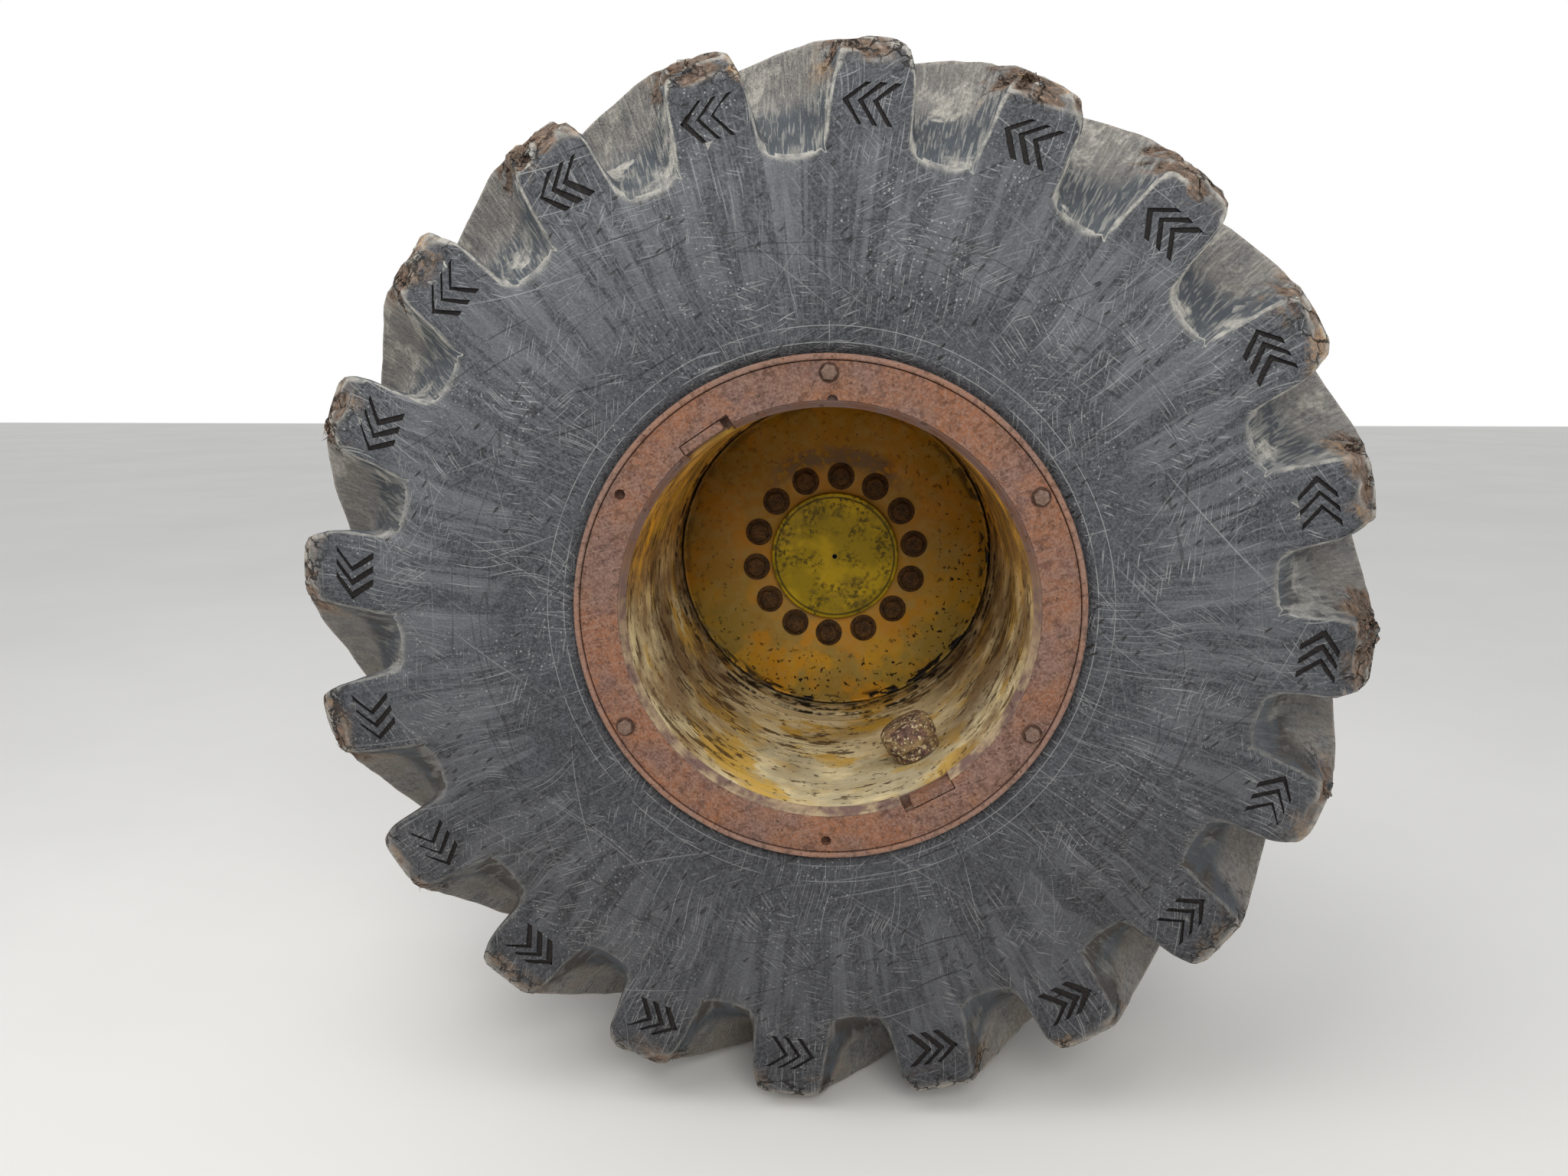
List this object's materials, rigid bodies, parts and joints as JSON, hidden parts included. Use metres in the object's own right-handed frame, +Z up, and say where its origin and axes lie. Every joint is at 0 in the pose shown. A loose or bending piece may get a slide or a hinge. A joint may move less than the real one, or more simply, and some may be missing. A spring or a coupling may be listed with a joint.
{
  "type": "skidder rear wheel with axle end",
  "caption": "Lugged forestry tyre on a deep steel rim with a bolted guard plate, bolted to the shaft of an axle end in which it turns.",
  "frame": {"origin": "centre of the face of the axle housing's mounting flange", "axes": "+Y along the axle, inboard and out of the flange face; +Z up; the outer side of the wheel faces -Y"},
  "size_m": [1.943, 1.167, 1.943],
  "materials": {
    "tyre_rubber": "dusty, scuffed rubber",
    "rim_paint": "faded yellow paint with dirt and rust",
    "rusty_steel": "evenly rusted steel",
    "disc_paint": "ochre paint with chips",
    "hub_paint": "olive yellow paint with chips",
    "dark_steel": "dark, oily steel",
    "housing_paint": "faded yellow paint with dirt",
    "bearing_steel": "ground steel",
    "valve_brass": "dull brass"
  },
  "bodies": {
    "axle_end": {"axle_housing": "housing_paint", "outer_bearing": "bearing_steel", "inner_bearing": "bearing_steel", "seal_carrier": "housing_paint", "carrier_bolts": "dark_steel"},
    "wheel": {"tyre": "tyre_rubber", "rim_base": "rim_paint", "side_ring": "rusty_steel", "lock_ring": "rusty_steel", "guard_plate": "rusty_steel", "guard_washers": "rusty_steel", "guard_bolts": "rusty_steel", "driver_keys": "rusty_steel", "valve_stem": "valve_brass", "valve_guard": "rim_paint", "wheel_disc": "disc_paint", "wheel_washers": "dark_steel", "wheel_bolts": "dark_steel", "axle_shaft": "hub_paint"}
  },
  "joints": [
    {"name": "wheel_spin", "type": "hinge", "parent": "axle_end", "child": "wheel", "pos_m": [0, -0.781, 0], "axis": [0, 1, 0], "continuous": true}
  ]
}
